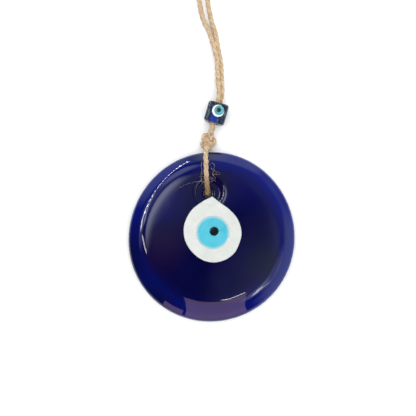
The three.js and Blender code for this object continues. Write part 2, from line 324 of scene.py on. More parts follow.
squeeze = np.ones(len(line))
for a, b in knot_zones:
    entered = smoothstep(a - SQUEEZE_OUTSIDE, a + SQUEEZE_INSIDE, line_s)
    left = smoothstep(b - SQUEEZE_INSIDE, b + SQUEEZE_OUTSIDE, line_s)
    squeeze = np.minimum(squeeze, 1 - (1 - KNOT_SQUEEZE) * (entered * (1 - left)))
unrolled = np.c_[line_s, line_s * 0, line_s * 0]
thickness = squeeze * (1 + 0.05 * field(unrolled, 9, 3))
phase = 2 * math.pi * line_s / TWIST_PITCH + 0.5 * field(unrolled, 14, 5)


def ply_rings(ply, first, last):
    """Rings of one ply from index first to last and a little beyond, and their places along the cord."""
    rings, along = [], []
    for k in range(max(0, first - OVERLAP_RINGS), min(len(line) - 1, last + OVERLAP_RINGS) + 1):
        beyond = max(first - k, k - last, 0)
        shrink = 1 - OVERLAP_SHRINK * beyond
        end = min(line_s[k], line_s[-1] - line_s[k])
        taper = CUT_TAPER + (1 - CUT_TAPER) * min(1, end / TAPER_LENGTH)
        t = -phase[k] + 2 * math.pi * ply / PLIES
        wobble = 1 + 0.10 * noise.noise(Vector((line_s[k] / 5, ply * 9.1, 2.2)))
        drift = 1 + 0.10 * noise.noise(Vector((line_s[k] / 3.5, ply * 4.7, 0.3)))
        offset = PLY_OFFSET * thickness[k] * drift * (1 + FRAY * max(0, 1 - end / FRAY_LENGTH))
        centre = line[k] + offset * (normal[k] * math.cos(t) + binormal[k] * math.sin(t))
        radius = PLY_RADIUS * thickness[k] * wobble * shrink * taper
        turn = line_s[k] * FIBRE_TWIST
        ring = []
        for m in range(PLY_SIDES):
            angle = 2 * math.pi * m / PLY_SIDES
            groove = noise.noise(Vector((2.1 * math.cos(angle + turn), 2.1 * math.sin(angle + turn),
                                         line_s[k] / 6 + ply * 13)))
            r = radius * (1 + GROOVE_DEPTH * groove)
            point = centre + r * (normal[k] * math.cos(angle) + binormal[k] * math.sin(angle))
            ring.append((point[0], point[1], max(point[2], FLOOR_GAP + 0.1 * max(0, -point[2]))))
        rings.append(ring)
        along.append(line_s[k])
    return np.array(rings), np.array(along)


def rope(name, spans):
    """One mesh of twisted plies along each (start, end) span of the cord's length."""
    points, faces, uvs = [], [], []
    for start, end in spans:
        first = int(np.searchsorted(line_s, start))
        last = min(int(np.searchsorted(line_s, end)), len(line) - 1)
        for ply in range(PLIES):
            rings, along = ply_rings(ply, first, last)
            base = len(points)
            points.extend(rings.reshape(-1, 3))
            n = PLY_SIDES
            for k in range(len(rings) - 1):
                faces += band_faces(base, n, k, k + 1)
                for m in range(n):
                    for u, v in ((m, k), (m + 1, k), (m + 1, k + 1), (m, k + 1)):
                        turns = along[v] * FIBRE_TWIST / (2 * math.pi)
                        uvs.append((u / n + turns + ply * PLY_UV_SHIFT, along[v] / UV_LENGTH))
            for k, flip in ((0, True), (len(rings) - 1, False)):
                ring = [base + k * n + m for m in range(n)]
                faces.append(tuple(ring[::-1] if flip else ring))
                uvs.extend([(0.5, along[k] / UV_LENGTH)] * n)
    return new_object(name, points, faces, uvs)


def span_path(start, end):
    keep = (line_s >= start) & (line_s <= end)
    return line[keep][::3]


top_spans = [(0, left_top), (right_top, line_s[-1])]
left_spans = [(left_top, left_foot)]
lower_spans = [(left_foot, loop_start), (loop_end, right_foot)]
right_spans = [(right_foot, right_top)]
top_knot = rope("top_knot_cord", top_spans)
strand_left = rope("strand_left_cord", left_spans)
lower_knot = rope("lower_knot_cord", lower_spans)
loop_cord = rope("loop_cord", [(loop_start, loop_end)])
strand_right = rope("strand_right_cord", right_spans)


# ---- loose fibres
HAIR_STEPS = 6
HAIR_FLOOR = 0.08


def hair_tube(points, faces, uvs, spine, radius):
    """Add a thin three-sided tube along the spine, pointed towards its end, to a mesh's lists."""
    base, sides = len(points), 3
    spine = np.asarray(spine)
    t = np.gradient(spine, axis=0)
    t /= np.linalg.norm(t, axis=1)[:, None]
    n = np.cross(t[0], (0.31, 0.52, 0.79))
    n /= np.linalg.norm(n)
    for k, p in enumerate(spine):
        n = n - t[k] * (n @ t[k])
        n /= np.linalg.norm(n)
        b = np.cross(t[k], n)
        r = radius * (1 - 0.75 * k / (len(spine) - 1))
        for m in range(sides):
            a = 2 * math.pi * m / sides
            points.append(p + r * (n * math.cos(a) + b * math.sin(a)))
    for k in range(len(spine) - 1):
        faces += band_faces(base, sides, k, k + 1)
        for m in range(sides):
            uvs += [(m / sides, k / 9)] * 4
    last = base + (len(spine) - 1) * sides
    faces.append((base + 2, base + 1, base))
    faces.append((last, last + 1, last + 2))
    uvs.extend([(0.5, 0.5)] * 6)


def fuzz(spans, per_mm, reach, thick=(0.03, 0.06)):
    """Loose hairs along the spans: how many a millimetre, and their least and greatest length and radius."""
    points, faces, uvs = [], [], []
    for start, end in spans:
        for _ in range(int((end - start) * per_mm)):
            k = int(np.searchsorted(line_s, rng.uniform(start, end)))
            k = min(max(k, 1), len(line) - 2)
            a = rng.uniform(0, 2 * math.pi)
            out = normal[k] * math.cos(a) + binormal[k] * math.sin(a)
            sweep = tangent[k] * rng.choice([-1, 1]) * rng.uniform(0.6, 2.2)
            length = rng.uniform(*reach) * (0.5 + 0.5 * rng.random())
            curl = rng.normal(0, 0.5, 3)
            p = line[k] + out * CORD_DIAMETER * 0.40 * squeeze[k]
            heading = out * rng.uniform(0.15, 0.8) + sweep
            heading /= np.linalg.norm(heading)
            spine = [p]
            for _ in range(HAIR_STEPS):
                heading = heading + curl * 0.22
                heading /= np.linalg.norm(heading)
                p = p + heading * length / HAIR_STEPS
                p[2] = max(p[2], HAIR_FLOOR)
                spine.append(p)
            spine = np.array(spine)
            if np.linalg.norm(np.diff(spine, axis=0), axis=1).min() < 1e-4:
                continue
            hair_tube(points, faces, uvs, spine, rng.uniform(*thick))
    return points, faces, uvs


# The loop's hairs stop where its front run turns down into the hole.
HOLE_POINT = 7
hole_s = route_s[route_marks == LOOP_STRETCH][HOLE_POINT]
loop_fuzz = new_object("loop_fuzz", *fuzz([(loop_start, hole_s)], 5.0, (1.0, 3.4), (0.035, 0.07)))
lower_fuzz = new_object("lower_knot_fuzz", *fuzz(lower_spans, 1.4, (0.8, 2.2)))
left_fuzz = new_object("strand_left_fuzz", *fuzz(left_spans, 1.6, (1.0, 3.2)))
right_fuzz = new_object("strand_right_fuzz", *fuzz(right_spans, 1.6, (1.0, 3.2)))
top_fuzz = new_object("top_knot_fuzz", *fuzz(top_spans, 1.8, (0.8, 2.6)))

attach(lower_knot, "cord_loop")
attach(loop_cord, "cord_loop")
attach(loop_fuzz, "cord_loop")
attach(lower_fuzz, "cord_loop")
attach(top_knot, "hanging_cord")
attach(top_fuzz, "hanging_cord")
for piece in (strand_left, strand_right, left_fuzz, right_fuzz):
    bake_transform(piece)
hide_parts("lower_knot")
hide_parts("cord_loop_front", "cord_loop_rear")
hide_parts("top_knot", "tail_left", "tail_right")
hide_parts("strand_left")
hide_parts("strand_right")
for piece, first, last, extras in (
        (loop_cord, loop_start, loop_end, [lower_knot, lower_fuzz, loop_fuzz]),
        (strand_left, left_foot, left_top, [top_knot, top_fuzz, left_fuzz]),
        (strand_right, right_foot, right_top, [right_fuzz])):
    path = span_path(min(first, last), max(first, last)) * MM
    if first > last:
        path = path[::-1]

# ---- glass disc
DISC_TILT = math.radians(2.3)
DISC_CENTRE_Y = -0.2
DISC_LIFT = 1.5164
HOLE = np.array((-1.9, 21.5))
DISH = np.array((-0.8, 21.8))
DISC_COUNT = 360
OUTLINE_SIZE = 1.009
OVAL, OVAL_TURN = 0.0131, math.radians(72.8)
EGG, EGG_TURN = 0.0051, math.radians(27.5)


def outline_share(angle):
    """How far out the disc reaches in each direction, for a nominal reach of 1."""
    return OUTLINE_SIZE + OVAL * np.cos(2 * (angle - OVAL_TURN)) + EGG * np.cos(3 * (angle + EGG_TURN))


def stand(points):
    """From the disc's own frame to the row frame."""
    points = np.asarray(points, float)
    c, s = math.cos(DISC_TILT), math.sin(DISC_TILT)
    return np.column_stack([points[:, 0], DISC_CENTRE_Y + points[:, 1] * c - points[:, 2] * s,
                            DISC_LIFT + points[:, 1] * s + points[:, 2] * c])


# The face from the middle out: nominal radius and how steeply it falls there, in degrees.
FACE_TILT = [(0, 0), (8, 0.6), (16, 1.2), (24, 1.9), (28, 2.6), (29.5, 3.8), (30.5, 6), (31.5, 8.8),
             (32.5, 11.6), (33.5, 14.5), (34.5, 19), (35.3, 24.5), (36, 30), (36.7, 35), (37.4, 38),
             (38.4, 39.5), (39.2, 42)]
FACE_TOP = 8.4
FACE_REACH = 39.2
# Round the edge to the back: nominal radius and height.
EDGE = [(39.55, 3.33), (39.82, 2.83), (39.97, 2.2), (40.0, 1.5), (39.85, 0.8), (39.4, 0.25), (38.7, 0.04),
        (38.0, 0.02)]
BACK_MOUTH = 4.3
# Up through the hole: radius and height.
HOLE_WALL = [(4.1, 0.12), (3.7, 0.5), (3.2, 1.0), (2.75, 1.5), (2.45, 2.0), (2.32, 2.6), (2.3, 3.4),
             (2.3, 4.6), (2.3, 5.8)]
WALL_SINK = 0.3
face_r = np.linspace(0, FACE_REACH, 1961)
face_slope = np.tan(np.radians(np.interp(face_r, *np.array(FACE_TILT, float).T)))
face_w = FACE_TOP - np.r_[0, np.cumsum((face_slope[1:] + face_slope[:-1]) / 2 * np.diff(face_r))]


def dome_height(rho):
    return np.interp(rho, face_r, face_w)


def top_height(x, y):
    angle = np.arctan2(y, x)
    rho = np.hypot(x, y) / outline_share(angle)
    points = raised(np.c_[x, y])
    wave = 0.040 * field(points, 16, 1) + 0.008 * field(points, 5, 2)
    return dome_height(rho) + wave * smoothstep(36.5, 33, rho)


DISH_MOUTH = 8.2
HOLE_RADIUS = 2.3
# The dish's wall: share of the way out to the mouth, and its slope in degrees.
DISH_TILT = [(0.44, 0), (0.55, 31), (0.63, 33), (0.75, 20), (0.86, 12), (1.0, 3), (1.1, 0)]
DISH_SPREAD = 7.0
LIP_STEP = 0.5
DISH_END = DISH_TILT[-1][0]
dish_s = np.linspace(0, DISH_END, 441)
dish_slope = np.tan(np.radians(np.interp(dish_s, *np.array(DISH_TILT, float).T)))
dish_sunk = np.cumsum((dish_slope * DISH_SPREAD * (dish_s[1] - dish_s[0]))[::-1])[::-1]
disc_angle = ring_angles(DISC_COUNT)
round_dir = unit_circle(disc_angle)
disc_share = outline_share(disc_angle)


def dish_share(x, y):
    """Where a point lies between the hole's edge, 0, and the dish's mouth, 1.

    The circles between the two drift from one centre to the other.
    """
    drift = DISH - HOLE
    grow = DISH_MOUTH - HOLE_RADIUS
    px, py = x - HOLE[0], y - HOLE[1]
    a = drift @ drift - grow * grow
    b = -2 * (px * drift[0] + py * drift[1]) - 2 * HOLE_RADIUS * grow
    c = px * px + py * py - HOLE_RADIUS**2
    return (-b - np.sqrt(np.maximum(b * b - 4 * a * c, 0))) / (2 * a)


def surface_height(x, y):
    """The face's height with its dish."""
    share = np.clip(dish_share(x, y), 0, DISH_END)
    lip = LIP_STEP * (1 - smoothstep(0.0, 0.16, share))
    return top_height(x, y) - np.interp(share, dish_s, dish_sunk) - lip


MIXED_RINGS = 90
INNER_REACH = 33.4
loops = []
# Out from the hole's edge: nested rings whose centres drift to the dish's, then to the disc's middle.
for t in np.linspace(0, 1, 64):
    xy = HOLE + (DISH - HOLE) * t + (HOLE_RADIUS + (DISH_MOUTH - HOLE_RADIUS) * t) * round_dir
    loops.append(raised(xy, surface_height(*xy.T)))
for t in np.linspace(0, 1, MIXED_RINGS)[1:]:
    radius = DISH_MOUTH + (INNER_REACH - DISH_MOUTH) * t
    share = 1 + (disc_share - 1) * t
    xy = DISH * (1 - t) + radius * share[:, None] * round_dir
    loops.append(raised(xy, surface_height(*xy.T)))
for rho in np.linspace(INNER_REACH, FACE_REACH, 40)[1:]:
    xy = rho * disc_share[:, None] * round_dir
    ripple = 0.006 * field(raised(xy), 1.8, 6) + 0.03 * field(raised(xy), 9, 7)
    ripple = ripple * smoothstep(INNER_REACH, 36, rho) * smoothstep(39.1, 37, rho)
    loops.append(raised(xy, surface_height(*xy.T) + ripple))
for rho, height in EDGE:
    loops.append(raised(rho * disc_share[:, None] * round_dir, height))
# Across the flat back to the hole, then up through it.
back_radius, back_height = EDGE[-1]
for t in np.linspace(0, 1, 16)[1:]:
    radius = back_radius + (BACK_MOUTH - back_radius) * t
    share = 1 + (disc_share - 1) * (1 - t)
    loops.append(raised(HOLE * t + radius * share[:, None] * round_dir, back_height * (1 - t)))
for radius, height in HOLE_WALL:
    loops.append(raised(HOLE + radius * round_dir, height))
loops.append(loops[0] - (0, 0, WALL_SINK))
disc = ring_stack("glass_disc_body", [stand(loop) for loop in loops], closed=True)
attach(disc, "disc")
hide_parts("glass_disc")

# Loose fibres lying on the glass beside the cord, as points of the disc's own frame.
STRAYS = [[(-4.4, 36.6), (-4.9, 34.5), (-4.5, 31.5), (-4.9, 28.2), (-4.6, 25.4)],
          [(-5.0, 35.2), (-4.6, 32.5), (-5.1, 29.8), (-5.0, 27.2)],
          [(-3.6, 27.0), (-7.0, 26.9), (-11.0, 26.0), (-14.6, 24.4), (-17.4, 22.2)],
          [(0.2, 36.0), (1.4, 34.6), (1.0, 33.0), (2.2, 31.6), (3.8, 31.2)],
          [(-0.4, 33.6), (0.8, 32.0), (0.5, 30.2), (1.8, 28.8), (1.4, 27.4)],
          [(0.4, 29.6), (1.6, 30.6), (3.2, 30.2), (4.2, 31.4)],
          [(-0.2, 26.6), (1.2, 27.6), (2.2, 26.8)]]
STRAY_RADIUS = 0.05
STRAY_GAP = 0.07
stray_mesh = [], [], []
for stray in STRAYS:
    bent = hermite(raised(stray), 24)
    height = surface_height(bent[:, 0], bent[:, 1]) + STRAY_GAP + 0.25 * np.abs(field(bent, 2.5, 51))
    hair_tube(*stray_mesh, stand(raised(bent[:, :2], height)), STRAY_RADIUS)
strays = new_object("stray_fibres", *stray_mesh)
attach(strays, "disc")

# ---- fused eye
WHITE_TIP = (0.3, 19.9)
WHITE_OUTLINE = [(3.4, 17.4), (8.6, 13.6), (12.0, 9.7), (13.9, 5.2), (14.2, 1.5), (13.2, -2.4), (11.2, -6.4),
                 (7.4, -9.7), (1.0, -11.5), (-4.8, -10.0), (-8.8, -7.0), (-11.6, -3.2), (-13.0, 0.5),
                 (-13.3, 4.0), (-12.4, 8.4), (-9.7, 13.2), (-4.9, 17.2)]
IRIS_CENTRE = np.array((0.6, 2.8))
IRIS_RADIUS = 7.7
PUPIL_CENTRE = np.array((1.2, 3.4))
PUPIL_RADIUS = 2.1
EYE_COUNT = 240
# Each layer: the height of its foot, and how far its top stands above the disc's face.
WHITE_FOOT, WHITE_RISE = 6.2, 0.42
IRIS_FOOT, IRIS_RISE = 7.4, 0.50
PUPIL_FOOT, PUPIL_RISE = 8.0, 0.55
IRIS_TOP = 8.8
IRIS_OVERLAP = 0.05
DOT_GAP = 0.02
INNER_SINK = 0.12
DISH_FOLLOW = 0.85


def drop_radius(centre, angle):
    """Distance from centre to the drop's outline in each direction."""
    outline = hermite(raised([WHITE_TIP, *WHITE_OUTLINE, WHITE_TIP]), 1200)[:, :2] - centre
    bearing = np.unwrap(np.arctan2(outline[:, 1], outline[:, 0]))
    if bearing[-1] < bearing[0]:
        outline, bearing = outline[::-1], bearing[::-1]
    wanted = bearing[0] + np.mod(angle - bearing[0], 2 * math.pi)
    return np.interp(wanted, bearing, np.hypot(outline[:, 0], outline[:, 1]))


def layer(centre, outer, inner_centre, inner, bottom, height, bulge, rings, soft, start=0.0):
    """A fused layer: a closed ring between an inner circle and an outer outline, with soft top edges."""
    direction = unit_circle(start + ring_angles(len(outer)))
    outside = centre + outer[:, None] * direction
    inside = inner_centre + inner * direction
    width = np.linalg.norm(outside - inside, axis=1)
    loops = [raised(outside, bottom)]
    for q in np.linspace(0, math.pi / 2, 7):
        share = np.minimum(soft * (1 - math.cos(q)) / width, 0.45)[:, None]
        xy = outside * (1 - share) + inside * share
        loops.append(raised(xy, height(xy) - soft * (1 - math.sin(q))))
    begin = (soft / width)[:, None]
    for t in np.linspace(0, 1, rings)[1:-1]:
        share = begin + (1 - 1.4 * begin) * t
        xy = outside * (1 - share) + inside * share
        loops.append(raised(xy, height(xy) + bulge * np.sin(math.pi * t) ** 0.7))
    loops.append(raised(inside, height(inside) - INNER_SINK))
    loops.append(raised(inside, bottom))
    return loops


def glass_top(extra, seed, amount):
    """The height of a fused layer's top: above the disc's dome, dipping with its dish, with small waves."""
    def height(xy):
        share = np.clip(dish_share(xy[:, 0], xy[:, 1]), 0, DISH_END)
        dip = DISH_FOLLOW * np.interp(share, dish_s, dish_sunk)
        level = dome_height(np.hypot(xy[:, 0], xy[:, 1])) + extra - dip
        points = raised(xy)
        return level + amount * field(points, 4.5, seed) + amount * 0.35 * field(points, 1.3, seed + 9)
    return height


tip_bearing = math.atan2(WHITE_TIP[1] - IRIS_CENTRE[1], WHITE_TIP[0] - IRIS_CENTRE[0])
eye_angle = tip_bearing + ring_angles(EYE_COUNT)
ring_points = raised(unit_circle(eye_angle))
white_outer = drop_radius(IRIS_CENTRE, eye_angle) + 0.10 * field(ring_points * 9, 4, 11)
white_loops = layer(IRIS_CENTRE, white_outer, IRIS_CENTRE, IRIS_RADIUS, WHITE_FOOT,
                    glass_top(WHITE_RISE, 21, 0.05), 0.05, rings=16, soft=0.5, start=tip_bearing)
eye_white = ring_stack("eye_white_glass", [stand(loop) for loop in white_loops], closed=True)
iris_outer = IRIS_RADIUS + IRIS_OVERLAP + 0.05 * field(ring_points * 6, 4, 12)
iris_loops = layer(IRIS_CENTRE, iris_outer, PUPIL_CENTRE, PUPIL_RADIUS, IRIS_FOOT,
                   glass_top(IRIS_RISE, 22, 0.03), 0.05, rings=14, soft=0.3, start=tip_bearing)
eye_iris = ring_stack("eye_iris_glass", [stand(loop) for loop in iris_loops], closed=True)


def button(centre, radius, bottom, height, crown, count, soft):
    """A round raised dot with soft edges, as loops from its foot to its middle."""
    direction = unit_circle(ring_angles(count))
    loops = [raised(centre + radius * direction, bottom)]
    for q in np.linspace(0, math.pi / 2, 6):
        xy = centre + (radius - soft * (1 - math.cos(q))) * direction
        loops.append(raised(xy, height(xy) - soft * (1 - math.sin(q))))
    for t in (0.8, 0.6, 0.4, 0.2, 0.06):
        xy = centre + (radius - soft) * t * direction
        loops.append(raised(xy, height(xy) + crown * (1 - t * t)))
    return loops


pupil_loops = button(PUPIL_CENTRE, PUPIL_RADIUS - DOT_GAP, PUPIL_FOOT, glass_top(PUPIL_RISE, 23, 0.01),
                     0.05, 96, 0.25)
eye_pupil = ring_stack("eye_pupil_glass", [stand(loop) for loop in pupil_loops], cap_start=True, cap_end=True)
for piece, node, slot_name in ((eye_white, "eye_white", "white_glass"), (eye_iris, "eye_iris", "blue_glass"),
                               (eye_pupil, "eye_pupil", "dark_glass")):
    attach(piece, "disc")
    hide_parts(node)

# ---- cube bead
BEAD_CENTRE = np.array((2.3, 59.2, 5.0))
BEAD_TURN = math.radians(-16.5)
BEAD_HALF = 5.0
BEAD_EDGE = 1.3
BEAD_CORNER = 1.6
FACE_CORNER = 1.1
FACE_BULGE = 0.02
BORE_RADIUS = 2.8
BORE_MOUTH = BORE_RADIUS + 0.35
BORE_FLARE = 0.1
BEAD_COUNT = 160
BEAD_TOP = 9.93
BEAD_EYE, BEAD_EYE_RADIUS = np.array((3.1, 60.0)), 2.86
BEAD_IRIS, BEAD_IRIS_RADIUS = np.array((3.6, 60.25)), 2.3
BEAD_PUPIL, BEAD_PUPIL_RADIUS = np.array((3.4, 60.4)), 1.05
BEAD_EYE_COUNT = 96
bead_angle = ring_angles(BEAD_COUNT)
bead_dir = unit_circle(bead_angle)


def squarish(half, corner):
    """A square outline with round corners, about the bore's axis, as distances by angle."""
    c, s = np.abs(bead_dir.T)
    reach = half / np.maximum(c, s)
    core = half - corner
    b = core * (c + s)
    inside = b * b - 2 * core * core + corner * corner
    rounded = b + np.sqrt(np.maximum(inside, 0))
    in_corner = (reach * c > core) & (reach * s > core)
    return np.where(in_corner, np.minimum(reach, rounded), reach)


def bead_point(local):
    """From the bead's frame, bore along its y, to the row frame."""
    c, s = math.cos(BEAD_TURN), math.sin(BEAD_TURN)
    x, y, z = local.T
    return np.column_stack([x * c - y * s, x * s + y * c, z]) + BEAD_CENTRE


def bead_loop(reach, y):
    """A loop about the bore's axis, at y along it."""
    return np.c_[reach * bead_dir[:, 0], np.full(BEAD_COUNT, y), reach * bead_dir[:, 1]]


def bead_end(sign):
    """Loops of one end: its flat face, out from the bore's mouth, and then the rounded edge."""
    loops = []
    for t in np.linspace(0, 1, 9):
        loops.append(bead_loop(BORE_MOUTH + (face - BORE_MOUTH) * t, sign * (BEAD_HALF + FACE_BULGE)))
    for q in np.linspace(0, math.pi / 2, 9)[1:]:
        reach = face + (full - face) * math.sin(q)
        loops.append(bead_loop(reach, sign * (BEAD_HALF - BEAD_EDGE * (1 - math.cos(q)))))
    return loops


full = squarish(BEAD_HALF, BEAD_CORNER)
face = squarish(BEAD_HALF - BEAD_EDGE, FACE_CORNER)
sides = [bead_loop(full, y) for y in np.linspace(-BEAD_HALF + BEAD_EDGE, BEAD_HALF - BEAD_EDGE, 24)[1:-1]]
bore = [bead_loop(BORE_RADIUS + BORE_FLARE, BEAD_HALF - 0.15)]
bore += [bead_loop(BORE_RADIUS, y) for y in np.linspace(BEAD_HALF - 0.6, -BEAD_HALF + 0.6, 12)]
bore += [bead_loop(BORE_RADIUS + BORE_FLARE, -BEAD_HALF + 0.15)]
softened = []
for loop in bead_end(-1) + sides + bead_end(1)[::-1] + bore:
    bump = 0.07 * field(loop, 3.2, 31) + 0.03 * field(loop, 1.1, 32)
    radial = np.hypot(loop[:, 0], loop[:, 2])
    grow = 1 + np.where(radial > BORE_RADIUS + 0.5, bump - 0.06, 0) / radial
    softened.append(np.c_[loop[:, 0] * grow, loop[:, 1] * (1 + 0.01 * np.sign(bump)), loop[:, 2] * grow])
bead = ring_stack("bead_glass_body", [bead_point(loop) for loop in softened], closed=True)


def bead_top(extra):
    """The height of a layer fused into the bead's upper face."""
    def height(xy):
        return BEAD_TOP + extra + 0.02 * field(raised(xy), 1.4, 41)
    return height


bead_white_loops = layer(BEAD_EYE, np.full(BEAD_EYE_COUNT, BEAD_EYE_RADIUS), BEAD_IRIS, BEAD_IRIS_RADIUS, 9.4,
                         bead_top(0.16), 0.02, rings=8, soft=0.16)
bead_white = ring_stack("bead_eye_white_glass", bead_white_loops, closed=True)
bead_iris_loops = layer(BEAD_IRIS, np.full(BEAD_EYE_COUNT, BEAD_IRIS_RADIUS - DOT_GAP), BEAD_PUPIL,
                        BEAD_PUPIL_RADIUS, 9.5, bead_top(0.22), 0.03, rings=8, soft=0.14)
bead_iris = ring_stack("bead_eye_iris_glass", bead_iris_loops, closed=True)
bead_pupil_loops = button(BEAD_PUPIL, BEAD_PUPIL_RADIUS - DOT_GAP, 9.6, bead_top(0.24), 0.06, 64, 0.12)
bead_pupil = ring_stack("bead_eye_pupil_glass", bead_pupil_loops, cap_start=True, cap_end=True)
for piece, node, slot_name in ((bead, "bead_body", "bead_glass"),
                               (bead_white, "bead_eye_white", "white_glass"),
                               (bead_iris, "bead_eye_iris", "turquoise_glass"),
                               (bead_pupil, "bead_eye_pupil", "dark_glass")):
    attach(piece, "bead")
    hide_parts(node)


# ---- materials
def material(name):
    m = bpy.data.materials.new(name)
    m.use_nodes = True
    tree = m.node_tree
    return m, tree, tree.nodes["Principled BSDF"]


def add(tree, kind, inputs=None, **settings):
    node = tree.nodes.new("ShaderNode" + kind)
    for key, value in settings.items():
        setattr(node, key, value)
    for key, value in (inputs or {}).items():
        if isinstance(value, bpy.types.NodeSocket):
            tree.links.new(value, node.inputs[key])
        else:
            node.inputs[key].default_value = value
    return node


def ramp(tree, factor, stops):
    node = add(tree, "ValToRGB", {"Fac": factor})
    elements = node.color_ramp.elements
    while len(elements) < len(stops):
        elements.new(0.5)
    for element, (position, colour) in zip(elements, stops):
        element.position = position
        element.color = (*colour, 1)
    return node.outputs["Color"]


def mask(tree, factor, start, end, strength=1.0):
    """Black up to start, and grey of that strength, or white, from end on."""
    return ramp(tree, factor, [(start, (0, 0, 0)), (end, (strength,) * 3)])


def mix(tree, factor, a, b):
    node = add(tree, "Mix", data_type="RGBA")
    for socket, value in ((node.inputs[0], factor), (node.inputs[6], a), (node.inputs[7], b)):
        if isinstance(value, bpy.types.NodeSocket):
            tree.links.new(value, socket)
        else:
            socket.default_value = (*value, 1)
    return node.outputs[2]


def calculate(tree, operation, a, b):
    return add(tree, "Math", {0: a, 1: b}, operation=operation).outputs[0]


def fade(tree, value, start, end):
    """0 up to start and 1 from end on, with a soft step between."""
    return add(tree, "MapRange", {"Value": value, "From Min": start, "From Max": end},
               interpolation_type="SMOOTHSTEP").outputs[0]


def coords(tree, scale=(1, 1, 1), location=(0, 0, 0), rotation=(0, 0, 0), kind="Object"):
    source = add(tree, "TexCoord").outputs[kind]
    node = add(tree, "Mapping", {"Vector": source, "Scale": scale, "Location": location,
                                           "Rotation": rotation})
    return node.outputs["Vector"]


def noise_node(tree, vector, scale, detail=3.0, roughness=0.55):
    return add(tree, "TexNoise", {"Vector": vector, "Scale": scale, "Detail": detail,
                                            "Roughness": roughness}).outputs["Fac"]


def bump(tree, height, strength, distance):
    return add(tree, "Bump", {"Height": height, "Strength": strength,
                                        "Distance": distance}).outputs["Normal"]


def finish(tree, shader, colour, roughness, ior, normal):
    """Wire a glass's colour and normal into its shader, and set its gloss."""
    tree.links.new(colour, shader.inputs["Base Color"])
    shader.inputs["Roughness"].default_value = roughness
    shader.inputs["IOR"].default_value = ior
    tree.links.new(normal, shader.inputs["Normal"])


def distance_to(tree, where, point):
    """How far a place is from a point given in millimetres. Object coordinates are metres."""
    return add(tree, "VectorMath", {0: where, 1: tuple(c * MM for c in point)},
               operation="DISTANCE").outputs["Value"]


def spot_mask(tree, where, centre, inner, outer):
    """1 near a point of the row frame, in millimetres, and 0 far from it."""
    return fade(tree, distance_to(tree, where, centre), outer * MM, inner * MM)


# Tones of the disc's face and rim: where, how far each reaches undimmed and at all, and its colour. The
# face's tones mix the glass's uneven tint with painted reflections; the rim's shape its painted light and
# reflection, dimmest at the left.
PER_METRE = 1000.0
TONE_REACH = 42
FACE_TINTS_AND_PAINTED_LIGHT = [((22, 30, 8), (4, 26), (0.0008, 0.0016, 0.060)),
               ((-26, 18, 8), (4, 20), (0.002, 0.0018, 0.060)),
               ((-24, -5, 8), (2, 17), (0.0060, 0.0020, 0.028)),
               ((25, -12, 8), (2, 13), (0.0020, 0.0040, 0.017)),
               ((3, 26, 8), (1, 10), (0.003, 0.0012, 0.018))]
RIM_PAINTED_LIGHT = [((-46, -12, 4), (6, 28), (0.0004, 0.0013, 0.040)),
             ((-28, -34, 4), (5, 24), (0.0006, 0.0020, 0.050)),
             ((2, -42, 4), (6, 28), (0.0010, 0.0036, 0.082)),
             ((-4, 42, 4), (4, 18), (0.0012, 0.0040, 0.078))]


def cobalt_glass():
    """Deep blue glass, nearly black inside and bluer towards the rim, where painted light stands for light
    shining through the thinner glass; spots of tint and painted reflection lie over face and rim.
    """
    m, tree, shader = material("cobalt_glass")
    where = coords(tree)
    radial = add(tree, "VectorMath", {0: where}, operation="LENGTH").outputs["Value"]
    share = calculate(tree, "MULTIPLY", radial, PER_METRE / TONE_REACH)
    # Painted light: bluer towards the rim, as if lit through the thinner glass.
    colour = ramp(tree, share, [(0.0, (0.0006, 0.0006, 0.027)), (0.68, (0.0006, 0.0007, 0.027)),
                                (0.76, (0.0006, 0.0012, 0.040)), (0.80, (0.0006, 0.0020, 0.062)),
                                (0.84, (0.0006, 0.0028, 0.086))])
    # Spots of tint and painted reflection over the face.
    for spot, reach, tone in FACE_TINTS_AND_PAINTED_LIGHT:
        colour = mix(tree, spot_mask(tree, where, spot, *reach), colour, tone)
    # Painted light on the rim band: a brighter blue, as if lit through the thin edge.
    rim = ramp(tree, share, [(0.84, (0.0008, 0.0034, 0.100)), (0.88, (0.0010, 0.0042, 0.122)),
                             (0.95, (0.0018, 0.0065, 0.150))])
    # Spots that dim the rim's painted light and reflection, most at the left.
    for spot, reach, tone in RIM_PAINTED_LIGHT:
        rim = mix(tree, spot_mask(tree, where, spot, *reach), rim, tone)
    colour = mix(tree, mask(tree, share, 0.79, 0.87), colour, rim)
    cloud = noise_node(tree, where, 60, 3.0)
    colour = mix(tree, mask(tree, cloud, 0.42, 0.75, 0.35), colour, (0.004, 0.003, 0.05))
    finish(tree, shader, colour, 0.035, 1.5, bump(tree, noise_node(tree, where, 700, 2.0), 0.03, 0.0001))
    return m


def opaque_glass(name, colours, seed, roughness, pores=False):
    """Fused opaque glass: slow colour drift, fine speckle and, where it is wanted, small pores."""
    m, tree, shader = material(name)
    where = coords(tree, location=(seed, seed * 0.7, 0))
    drift = noise_node(tree, where, 160, 3.0)
    colour = ramp(tree, drift, [(0.35, colours[0]), (0.65, colours[1])])
    speck = noise_node(tree, where, 1500, 2.0)
    colour = mix(tree, mask(tree, speck, 0.60, 0.72), colour, colours[2])
    height = noise_node(tree, where, 700, 3.0)
    if pores:
        cells = add(tree, "TexVoronoi", {"Vector": where, "Scale": 620.0, "Randomness": 1.0})
        pore = ramp(tree, cells.outputs["Distance"], [(0.05, (1, 1, 1)), (0.16, (0, 0, 0))])
        rare = mask(tree, noise_node(tree, where, 330, 1.0), 0.52, 0.60)
        hole = mix(tree, rare, (0, 0, 0), pore)
        colour = mix(tree, hole, colour, colours[3])
    finish(tree, shader, colour, roughness, 1.5, bump(tree, height, 0.12, 0.0002))
    return m


